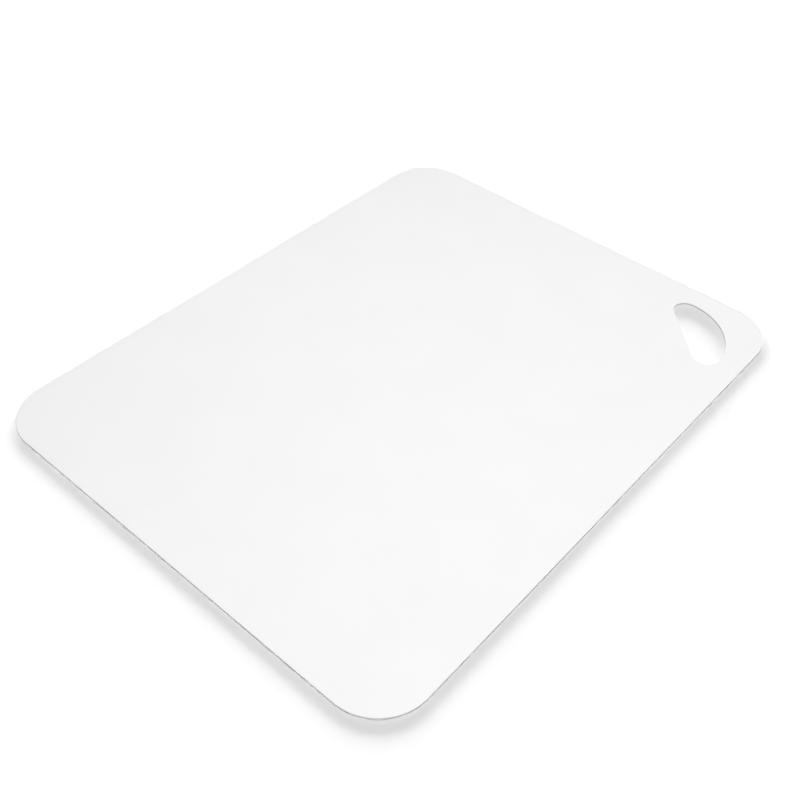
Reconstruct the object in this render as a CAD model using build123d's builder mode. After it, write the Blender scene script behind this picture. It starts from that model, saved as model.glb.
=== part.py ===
from build123d import *
import os
from math import sqrt

# Flexible cutting mat: one sheet of soft plastic, cut out in a single stroke.
# It lies flat with the cutting face up. The origin is under the middle of the sheet,
# X runs along the long side, and the hand hole is in the corner at +X, -Y.

# The sheet
mat_length = 380.0
mat_width = 300.0
mat_thickness = 1.5
corner_radius = 31.0
edge_round = 0.5

# The hand hole: a straight grip side that crosses the corner, a bulge towards the corner,
# and two round tips
hole_length = 60.0
hole_depth = 26.0
hole_tip_radius = 8.5
hole_setback = 63.5
corner_angle = -45.0

# The bulge is one arc, tangent to both tips. Its radius follows from the length and the depth,
# and so does the chord that it would cut from the grip side if the tips were sharp.
tip_reach = hole_length / 2 - hole_tip_radius
bulge_height = hole_depth - hole_tip_radius
bulge_radius = (tip_reach**2 + bulge_height**2 - hole_tip_radius**2) / (2 * (bulge_height - hole_tip_radius))
sharp_chord = 2 * sqrt(hole_depth * (2 * bulge_radius - hole_depth))

# The grip side is set back from the point where the two straight edges would meet
square_corner = Vector(mat_length / 2, -mat_width / 2)
outward = Vector(1, 0).rotate(Axis.Z, corner_angle)
hole_plane = Plane(origin=square_corner - outward * hole_setback, x_dir=outward)

with BuildPart() as cutting_mat:
    with BuildSketch():
        RectangleRounded(mat_length, mat_width, corner_radius)
    extrude(amount=mat_thickness)

    with BuildSketch(hole_plane) as hand_hole:
        with BuildLine():
            grip_side = Line((0, -sharp_chord / 2), (0, sharp_chord / 2))
            SagittaArc(grip_side @ 1, grip_side @ 0, hole_depth)
        make_face()
        fillet(hand_hole.vertices(), hole_tip_radius)
    extrude(amount=mat_thickness, mode=Mode.SUBTRACT)

    # A light round runs along every edge of both faces, outside and in the hole
    rims = cutting_mat.faces().filter_by(Axis.Z).edges()
    fillet(rims, edge_round)

cutting_mat.part.label = "cutting_mat"

os.makedirs("parts", exist_ok=True)
export_step(cutting_mat.part, "parts/cutting_mat.step")
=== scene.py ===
from math import cos, pi, radians, sin

import bpy
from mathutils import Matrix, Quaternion, Vector


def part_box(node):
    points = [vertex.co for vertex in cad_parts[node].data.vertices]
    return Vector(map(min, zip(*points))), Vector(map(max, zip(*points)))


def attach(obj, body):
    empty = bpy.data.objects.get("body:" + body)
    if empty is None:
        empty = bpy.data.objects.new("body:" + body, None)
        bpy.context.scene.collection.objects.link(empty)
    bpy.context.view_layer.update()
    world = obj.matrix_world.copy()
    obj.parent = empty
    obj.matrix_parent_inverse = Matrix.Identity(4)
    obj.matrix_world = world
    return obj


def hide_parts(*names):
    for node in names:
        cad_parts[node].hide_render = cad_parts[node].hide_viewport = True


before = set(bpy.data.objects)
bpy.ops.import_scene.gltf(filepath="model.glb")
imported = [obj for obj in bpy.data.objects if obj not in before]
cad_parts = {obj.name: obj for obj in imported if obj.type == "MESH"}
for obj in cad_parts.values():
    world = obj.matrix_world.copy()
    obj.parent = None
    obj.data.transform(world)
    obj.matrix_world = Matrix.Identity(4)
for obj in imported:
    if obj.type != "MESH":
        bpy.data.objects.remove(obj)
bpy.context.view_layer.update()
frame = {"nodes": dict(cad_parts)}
scene = bpy.context.scene
print("frame loaded:", ", ".join(frame["nodes"]))


# Helpers for node trees, used by the geometry and by the materials

def feed(tree, socket, value):  # a link if value is an output, else a plain value
    if isinstance(value, bpy.types.NodeSocket):
        tree.links.new(value, socket)
    else:
        socket.default_value = value


def addNode(tree, kind, inputs=None, **settings):  # inputs are named or numbered
    node = tree.nodes.new(kind)
    node.location = (len(tree.nodes) % 9 * 200, len(tree.nodes) // 9 * -260)
    for name, value in settings.items():
        setattr(node, name, value)
    for socket, value in (inputs or {}).items():
        feed(tree, node.inputs[socket], value)
    return node


def work(tree, operation, *terms):  # one step of arithmetic
    return addNode(tree, "ShaderNodeMath", dict(enumerate(terms)), operation=operation).outputs[0]


# The mat: overall sizes come from the frame, the rest are the mat's own, in metres

matLow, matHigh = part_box("cutting_mat")
mat = {
    "length": matHigh.x - matLow.x,
    "width": matHigh.y - matLow.y,
    "thickness": matHigh.z - matLow.z,
    "cornerRadius": 0.031,
    "rimRadius": 0.0005,
    "holeLength": 0.060,
    "holeDepth": 0.026,
    "holeTipRadius": 0.0085,
    "holeSetback": 0.0635,  # from the sharp corner to the grip side
    "cornerSteps": 40,
    "holeSteps": 320,
    "rimSteps": 5,
    "joinShare": 0.02,  # points closer than this share of the rim's radius become one
}
cornerTurn = radians(-45)  # the hole faces the corner at +X, -Y


def outerOutline(tree, size):
    box = addNode(tree, "GeometryNodeCurvePrimitiveQuadrilateral",
                  {"Width": size["length"], "Height": size["width"]}, mode="RECTANGLE")
    corners = addNode(tree, "GeometryNodeFilletCurve",
                      {"Curve": box.outputs[0], "Count": size["cornerSteps"],
                       "Radius": size["cornerRadius"]}, mode="POLY")
    return corners.outputs[0]


def holeOutline(tree, size):
    # Each point of a unit circle gives the direction in which the outline faces there.
    # It moves to the arc that faces that way: the bulge in front, a tip on either side.
    # The two tips leave the straight grip side between them.
    depth = size["holeDepth"]
    tip = size["holeTipRadius"]
    reach = work(tree, "SUBTRACT", work(tree, "MULTIPLY", size["holeLength"], 0.5), tip)
    rise = work(tree, "SUBTRACT", depth, tip)
    squares = work(tree, "SUBTRACT",
                   work(tree, "ADD", work(tree, "POWER", reach, 2), work(tree, "POWER", rise, 2)),
                   work(tree, "POWER", tip, 2))
    bulgeRadius = work(tree, "DIVIDE", squares,
                       work(tree, "MULTIPLY", work(tree, "SUBTRACT", rise, tip), 2))
    bulgeMiddle = work(tree, "SUBTRACT", depth, bulgeRadius)

    circle = addNode(tree, "GeometryNodeCurvePrimitiveCircle",
                     {"Resolution": size["holeSteps"], "Radius": 1.0}, mode="RADIUS")
    facing = addNode(tree, "ShaderNodeSeparateXYZ",
                     {0: addNode(tree, "GeometryNodeInputPosition").outputs[0]}).outputs
    meet = work(tree, "DIVIDE", work(tree, "SUBTRACT", tip, bulgeMiddle),
                work(tree, "SUBTRACT", bulgeRadius, tip))  # where bulge and tip are tangent
    onBulge = work(tree, "GREATER_THAN", facing["X"], meet)

    def either(tipValue, bulgeValue):
        return addNode(tree, "GeometryNodeSwitch",
                       {"Switch": onBulge, "False": tipValue, "True": bulgeValue},
                       input_type="FLOAT").outputs[0]

    radius = either(tip, bulgeRadius)
    side = work(tree, "MULTIPLY", work(tree, "SIGN", facing["Y"]), reach)
    x = work(tree, "MULTIPLY_ADD", facing["X"], radius, either(tip, bulgeMiddle))
    y = work(tree, "MULTIPLY_ADD", facing["Y"], radius, either(side, 0.0))
    point = addNode(tree, "ShaderNodeCombineXYZ", {"X": x, "Y": y}).outputs[0]
    shaped = addNode(tree, "GeometryNodeSetPosition",
                     {"Geometry": circle.outputs[0], "Position": point})

    # The grip side lies across the corner, its setback away from the sharp point
    inX = work(tree, "MULTIPLY", size["holeSetback"], cos(cornerTurn))
    inY = work(tree, "MULTIPLY", size["holeSetback"], sin(cornerTurn))
    middle = addNode(tree, "ShaderNodeCombineXYZ", {
        "X": work(tree, "MULTIPLY_ADD", size["length"], 0.5, work(tree, "MULTIPLY", inX, -1)),
        "Y": work(tree, "MULTIPLY_ADD", size["width"], -0.5, work(tree, "MULTIPLY", inY, -1)),
    }).outputs[0]
    placed = addNode(tree, "GeometryNodeTransform",
                     {"Geometry": shaped.outputs[0], "Translation": middle,
                      "Rotation": (0, 0, cornerTurn)})
    return addNode(tree, "GeometryNodeReverseCurve", {"Curve": placed.outputs[0]}).outputs[0]


def edgeProfile(tree, size):
    # The edge in section, top rim, wall and bottom rim: X points out of the sheet, Y down
    inset = work(tree, "MULTIPLY", size["rimRadius"], -2)
    rise = work(tree, "MULTIPLY", size["thickness"], -1)
    top = addNode(tree, "ShaderNodeCombineXYZ", {"Y": rise}).outputs[0]
    topIn = addNode(tree, "ShaderNodeCombineXYZ", {"X": inset, "Y": rise}).outputs[0]
    bottomIn = addNode(tree, "ShaderNodeCombineXYZ", {"X": inset}).outputs[0]
    hook = addNode(tree, "GeometryNodeCurvePrimitiveQuadrilateral",
                   {"Point 1": topIn, "Point 2": top, "Point 3": (0, 0, 0), "Point 4": bottomIn},
                   mode="POINTS")
    opened = addNode(tree, "GeometryNodeSetSplineCyclic",
                     {"Geometry": hook.outputs[0], "Cyclic": False})
    return addNode(tree, "GeometryNodeFilletCurve",
                   {"Curve": opened.outputs[0], "Count": size["rimSteps"],
                    "Radius": size["rimRadius"]}, mode="POLY").outputs[0]


def sheetTree():
    tree = bpy.data.node_groups.new("sheetWithHandHole", "GeometryNodeTree")
    for name, value in mat.items():
        kind = "NodeSocketInt" if isinstance(value, int) else "NodeSocketFloat"
        tree.interface.new_socket(name, in_out="INPUT", socket_type=kind)
    tree.interface.new_socket("plastic", in_out="INPUT", socket_type="NodeSocketMaterial")
    tree.interface.new_socket("sheet", in_out="OUTPUT", socket_type="NodeSocketGeometry")
    size = addNode(tree, "NodeGroupInput").outputs

    # The edge section runs round both outlines and makes every wall and rim
    outlines = addNode(tree, "GeometryNodeJoinGeometry")
    for outline in (outerOutline(tree, size), holeOutline(tree, size)):
        tree.links.new(outline, outlines.inputs[0])
    upright = addNode(tree, "GeometryNodeSetCurveNormal",
                      {"Curve": outlines.outputs[0]}, mode="Z_UP")
    walls = addNode(tree, "GeometryNodeCurveToMesh",
                    {"Curve": upright.outputs[0], "Profile Curve": edgeProfile(tree, size)})

    # The flat faces fill the upper open edges of the walls, and a copy closes them below
    neighbours = addNode(tree, "GeometryNodeInputMeshEdgeNeighbors").outputs[0]
    height = addNode(tree, "ShaderNodeSeparateXYZ",
                     {0: addNode(tree, "GeometryNodeInputPosition").outputs[0]}).outputs["Z"]
    upper = work(tree, "GREATER_THAN", height, work(tree, "MULTIPLY", size["thickness"], 0.5))
    openEdge = work(tree, "MULTIPLY", work(tree, "LESS_THAN", neighbours, 1.5), upper)
    loops = addNode(tree, "GeometryNodeMeshToCurve",
                    {"Mesh": walls.outputs[0], "Selection": openEdge})
    flat = addNode(tree, "GeometryNodeFillCurve", {"Curve": loops.outputs[0]}, mode="TRIANGLES")
    lift = addNode(tree, "ShaderNodeCombineXYZ", {"Z": size["thickness"]}).outputs[0]
    top = addNode(tree, "GeometryNodeTransform", {"Geometry": flat.outputs[0], "Translation": lift})
    bottom = addNode(tree, "GeometryNodeFlipFaces", {"Mesh": flat.outputs[0]})

    sheet = addNode(tree, "GeometryNodeJoinGeometry")
    faces = addNode(tree, "GeometryNodeJoinGeometry")
    for part in (top, bottom):
        tree.links.new(part.outputs[0], faces.inputs[0])
    plainFaces = addNode(tree, "GeometryNodeSetShadeSmooth",
                         {"Geometry": faces.outputs[0], "Shade Smooth": False}, domain="FACE")
    softWalls = addNode(tree, "GeometryNodeSetShadeSmooth",
                        {"Geometry": walls.outputs[0], "Shade Smooth": True}, domain="FACE")
    for part in (plainFaces, softWalls):
        tree.links.new(part.outputs[0], sheet.inputs[0])
    closed = addNode(tree, "GeometryNodeMergeByDistance",
                     {"Geometry": sheet.outputs[0],
                      "Distance": work(tree, "MULTIPLY", size["rimRadius"], size["joinShare"])})
    real = addNode(tree, "GeometryNodeRealizeInstances", {"Geometry": closed.outputs[0]})
    finished = addNode(tree, "GeometryNodeSetMaterial",
                       {"Geometry": real.outputs[0], "Material": size["plastic"]})
    addNode(tree, "NodeGroupOutput", {0: finished.outputs[0]})
    return tree


def makeMat(finish):
    seed = bpy.data.objects.new("sheetSeed", bpy.data.meshes.new("sheetSeed"))
    scene.collection.objects.link(seed)
    maker = seed.modifiers.new("sheet", "NODES")
    maker.node_group = sheetTree()
    for socket in maker.node_group.interface.items_tree:
        if socket.in_out == "INPUT":
            maker[socket.identifier] = mat.get(socket.name, finish)
    shaped = seed.evaluated_get(bpy.context.evaluated_depsgraph_get())
    made = bpy.data.meshes.new_from_object(shaped)
    bpy.data.objects.remove(seed)
    made.name = "whiteSheet"
    sheet = bpy.data.objects.new("whiteSheet", made)
    scene.collection.objects.link(sheet)
    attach(sheet, "root")
    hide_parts("cutting_mat")
    print("mat:", len(made.polygons), "faces,", len(made.vertices), "points")
    return sheet


# The white plastic

plastic = {
    "white": (0.902, 0.902, 0.902, 1),
    "clouded": (0.891, 0.891, 0.891, 1),
    # Painted shade: the upright walls and rims get this darker, slightly warm colour in place of
    # the shade they stand in
    "cut": (0.835, 0.820, 0.822, 1),
    "cutFrom": 0.85,  # how upright a surface is where the painted edge shade starts to show
    "cutFull": 0.3,
    "grainCell": 0.0005,
    "grainDetail": 3.0,
    "grainRoughness": 0.6,
    "grainSpan": (0.3, 0.7),
    "grainDepth": 0.00006,
    "cloudSize": 0.045,
    "cloudDetail": 2.0,
    "cloudRoughness": 0.45,
    "cloudSpan": (0.35, 0.65),
    "roughness": (0.46, 0.54),
    "ior": 1.49,
    "scatterShare": 0.35,
    "scatterDepth": 0.0012,
}


def grainGroup():  # fine moulded grain and very faint cloudiness, from a place in metres
    group = bpy.data.node_groups.new("fineGrain", "ShaderNodeTree")
    for name, kind in (("Place", "NodeSocketVector"), ("Cell", "NodeSocketFloat"),
                       ("Cloud", "NodeSocketFloat")):
        group.interface.new_socket(name, in_out="INPUT", socket_type=kind)
    for name in ("Height", "Clouds"):
        group.interface.new_socket(name, in_out="OUTPUT", socket_type="NodeSocketFloat")
    given = addNode(group, "NodeGroupInput").outputs
    grain = addNode(group, "ShaderNodeTexNoise",
                    {"Vector": given["Place"], "Scale": work(group, "DIVIDE", 1.0, given["Cell"]),
                     "Detail": plastic["grainDetail"], "Roughness": plastic["grainRoughness"]})
    clouds = addNode(group, "ShaderNodeTexNoise",
                     {"Vector": given["Place"], "Scale": work(group, "DIVIDE", 1.0, given["Cloud"]),
                      "Detail": plastic["cloudDetail"], "Roughness": plastic["cloudRoughness"]})
    addNode(group, "NodeGroupOutput",
            {"Height": grain.outputs["Fac"], "Clouds": clouds.outputs["Fac"]})
    return group


def shadedEdgeGroup():  # 1 on the upright walls and rims, which are painted darker as shade, 0 on the flat faces
    group = bpy.data.node_groups.new("cutEdge", "ShaderNodeTree")
    group.interface.new_socket("Facing", in_out="INPUT", socket_type="NodeSocketVector")
    group.interface.new_socket("Mask", in_out="OUTPUT", socket_type="NodeSocketFloat")
    given = addNode(group, "NodeGroupInput").outputs
    upward = work(group, "ABSOLUTE", addNode(group, "ShaderNodeSeparateXYZ",
                                             {0: given["Facing"]}).outputs["Z"])
    mask = addNode(group, "ShaderNodeMapRange",
                   {"Value": upward, "From Min": plastic["cutFrom"],
                    "From Max": plastic["cutFull"]}, interpolation_type="SMOOTHSTEP")
    addNode(group, "NodeGroupOutput", {"Mask": mask.outputs[0]})
    return group


def mixColour(tree, share, first, second):
    node = addNode(tree, "ShaderNodeMix", data_type="RGBA")
    for socket, value in (("Factor_Float", share), ("A_Color", first), ("B_Color", second)):
        found = next(each for each in node.inputs if each.identifier == socket)
        feed(tree, found, value)
    return next(each for each in node.outputs if each.identifier == "Result_Color")


def plasticMaterial():
    material = bpy.data.materials.new("whitePlastic")
    material.use_nodes = True
    tree = material.node_tree
    tree.nodes.clear()
    where = addNode(tree, "ShaderNodeTexCoord").outputs
    grain = addNode(tree, "ShaderNodeGroup", node_tree=grainGroup())
    feed(tree, grain.inputs["Place"], where["Object"])
    feed(tree, grain.inputs["Cell"], plastic["grainCell"])
    feed(tree, grain.inputs["Cloud"], plastic["cloudSize"])
    edge = addNode(tree, "ShaderNodeGroup", node_tree=shadedEdgeGroup())
    feed(tree, edge.inputs["Facing"], where["Normal"])

    low, high = plastic["cloudSpan"]
    clouds = addNode(tree, "ShaderNodeMapRange",
                     {"Value": grain.outputs["Clouds"], "From Min": low, "From Max": high})
    face = mixColour(tree, clouds.outputs[0], plastic["white"], plastic["clouded"])
    # The walls and rims take the darker edge colour, which is painted shade
    colour = mixColour(tree, edge.outputs["Mask"], face, plastic["cut"])
    low, high = plastic["grainSpan"]
    smooth, rough = plastic["roughness"]
    gloss = addNode(tree, "ShaderNodeMapRange",
                    {"Value": grain.outputs["Height"], "From Min": low, "From Max": high,
                     "To Min": smooth, "To Max": rough})
    bump = addNode(tree, "ShaderNodeBump",
                   {"Strength": 1.0, "Distance": plastic["grainDepth"],
                    "Height": grain.outputs["Height"]})
    surface = addNode(tree, "ShaderNodeBsdfPrincipled",
                      {"Base Color": colour, "Roughness": gloss.outputs[0],
                       "IOR": plastic["ior"], "Normal": bump.outputs[0],
                       "Subsurface Weight": plastic["scatterShare"],
                       "Subsurface Radius": (1, 1, 1), "Subsurface Scale": plastic["scatterDepth"]})
    addNode(tree, "ShaderNodeOutputMaterial", {"Surface": surface.outputs[0]})
    return material


# The studio: floor, surroundings, lamps and camera. Lamps are linked to what they light.

studio = {
    "floorColour": (0.9, 0.9, 0.9, 1),
    "floorBounce": (0.58, 0.58, 0.58, 1),
    "floorReach": 30.0,
    "floorDrop": 0.0001,
    "floorSteps": 64,
    "surroundings": 0.2,
    "sunWidth": 0.5,  # radians, of the lamps straight above and below
    "softboxSize": 1.1,
    "softboxPlace": (0.015, -0.105, 1.05),
    "softboxPower": 11.9,
    "floorTop": 1.80,
    "floorLow": 1.15,
    "holeFloorRadius": 0.033,
    "underside": 1.65,
}

# Low lamps behind the sheet draw its soft shadow. In the photo the shadow in the hole is
# longer and lies another way, so the floor in the hole has a set of its own. Angles are
# in degrees: the height above the floor, the width of each lamp, the turn of the middle
# one from straight behind the sheet, and the step from lamp to lamp.
lowLight = {
    "around": {"height": 8.2, "width": 11.0, "middle": 2.4, "step": 9.8, "lamps": 5},
    "inHole": {"height": 4.5, "width": 5.5, "middle": -15.0, "step": 9.0, "lamps": 5},
}


def seenDirectly(tree):  # 1 for rays that show or mirror a surface, 0 for its light
    path = addNode(tree, "ShaderNodeLightPath").outputs
    return work(tree, "MAXIMUM", path["Is Camera Ray"],
                work(tree, "MAXIMUM", path["Is Glossy Ray"], path["Is Transmission Ray"]))


def addFloor(name, outline, height, material):
    made = bpy.data.meshes.new(name)
    made.from_pydata([(x, y, height) for x, y in outline], [], [tuple(range(len(outline)))])
    made.materials.append(material)
    floor = bpy.data.objects.new(name, made)
    scene.collection.objects.link(floor)
    return floor


def makeFloors():  # the whole floor, and a round piece of it that shows in the hand hole
    material = bpy.data.materials.new("paleFloor")
    material.use_nodes = True
    tree = material.node_tree
    tree.nodes.clear()
    colour = mixColour(tree, seenDirectly(tree), studio["floorBounce"], studio["floorColour"])
    pale = addNode(tree, "ShaderNodeBsdfDiffuse", {"Color": colour})
    clear = addNode(tree, "ShaderNodeBsdfTransparent")
    below = addNode(tree, "ShaderNodeNewGeometry").outputs["Backfacing"]
    either = addNode(tree, "ShaderNodeMixShader",
                     {0: below, 1: pale.outputs[0], 2: clear.outputs[0]})
    addNode(tree, "ShaderNodeOutputMaterial", {"Surface": either.outputs[0]})

    reach = studio["floorReach"]
    square = [(-reach, -reach), (reach, -reach), (reach, reach), (-reach, reach)]
    around = addFloor("paleFloor", square, -studio["floorDrop"], material)

    inward = mat["holeSetback"] - mat["holeDepth"] / 2
    middle = Vector((mat["length"] / 2, -mat["width"] / 2))
    middle -= Vector((cos(cornerTurn), sin(cornerTurn))) * inward
    steps = range(studio["floorSteps"])
    ring = [2 * pi * step / len(steps) for step in steps]
    radius = studio["holeFloorRadius"]
    disc = [(middle.x + radius * cos(angle), middle.y + radius * sin(angle)) for angle in ring]
    inHole = addFloor("holeFloor", disc, -studio["floorDrop"] / 2, material)
    return {"around": around, "inHole": inHole}


def makeSurroundings():  # white to look at and to reflect, a soft grey as light
    world = bpy.data.worlds.new("studio")
    world.use_nodes = True
    tree = world.node_tree
    tree.nodes.clear()
    strength = addNode(tree, "ShaderNodeMapRange",
                       {"Value": seenDirectly(tree), "To Min": studio["surroundings"],
                        "To Max": 1.0})
    light = addNode(tree, "ShaderNodeBackground",
                    {"Color": (1, 1, 1, 1), "Strength": strength.outputs[0]})
    addNode(tree, "ShaderNodeOutputWorld", {"Surface": light.outputs[0]})
    scene.world = world


def addLamp(name, kind, direction, lit, **settings):  # direction is the way to the lamp
    data = bpy.data.lights.new(name, kind)
    for setting, value in settings.items():
        setattr(data, setting, value)
    lamp = bpy.data.objects.new(name, data)
    lamp.rotation_mode = "QUATERNION"
    lamp.rotation_quaternion = Vector(direction).to_track_quat("Z", "Y")
    scene.collection.objects.link(lamp)
    reached = bpy.data.collections.new(name + "_lights")
    for each in lit:
        reached.objects.link(each)
    lamp.light_linking.receiver_collection = reached
    return lamp


def makeLamps(sheet, floors):
    softbox = addLamp("softbox", "AREA", (0, 0, 1), [sheet],
                      energy=studio["softboxPower"], size=studio["softboxSize"])
    softbox.location = studio["softboxPlace"]
    under = addLamp("underLight", "SUN", (0, 0, -1), [sheet],
                    energy=studio["underside"], angle=studio["sunWidth"])
    alone = bpy.data.collections.new("underLight_stops")
    alone.objects.link(sheet)
    under.light_linking.blocker_collection = alone
    addLamp("floorTop", "SUN", (0, 0, 1), floors.values(),
            energy=studio["floorTop"], angle=studio["sunWidth"])
    for place, low in lowLight.items():
        rise = radians(low["height"])
        share = studio["floorLow"] / sin(rise) / low["lamps"]
        for number in range(low["lamps"]):
            turn = low["middle"] + low["step"] * (number - (low["lamps"] - 1) / 2)
            heading = radians(photoCamera["azimuth"] + turn)
            toLamp = (-sin(heading) * cos(rise), cos(heading) * cos(rise), sin(rise))
            addLamp(place + "Low", "SUN", toLamp, [floors[place]],
                    energy=share, angle=radians(low["width"]))


photoCamera = {
    "target": (-0.02279, -0.01279, 0.0015),
    "distance": 0.60483,
    "azimuth": -50.005,
    "elevation": 44.537,
    "roll": 1.892,
    "lens": 46.242,
    "sensor": 36,
    "nearest": 0.01,
}


def makeCamera():
    turn = radians(photoCamera["azimuth"])
    rise = radians(photoCamera["elevation"])
    back = Vector((sin(turn) * cos(rise), -cos(turn) * cos(rise), sin(rise)))
    data = bpy.data.cameras.new("photoCamera")
    data.lens = photoCamera["lens"]
    data.sensor_width = photoCamera["sensor"]
    data.clip_start = photoCamera["nearest"]
    camera = bpy.data.objects.new("photoCamera", data)
    camera.location = Vector(photoCamera["target"]) + back * photoCamera["distance"]
    camera.rotation_mode = "QUATERNION"
    tilt = Quaternion((0, 0, 1), radians(photoCamera["roll"]))
    camera.rotation_quaternion = (-back).to_track_quat("-Z", "Y") @ tilt
    scene.collection.objects.link(camera)
    scene.camera = camera


sheet = makeMat(plasticMaterial())
floors = makeFloors()
makeSurroundings()
makeLamps(sheet, floors)
makeCamera()
scene.view_settings.view_transform = "Standard"
print("studio ready")
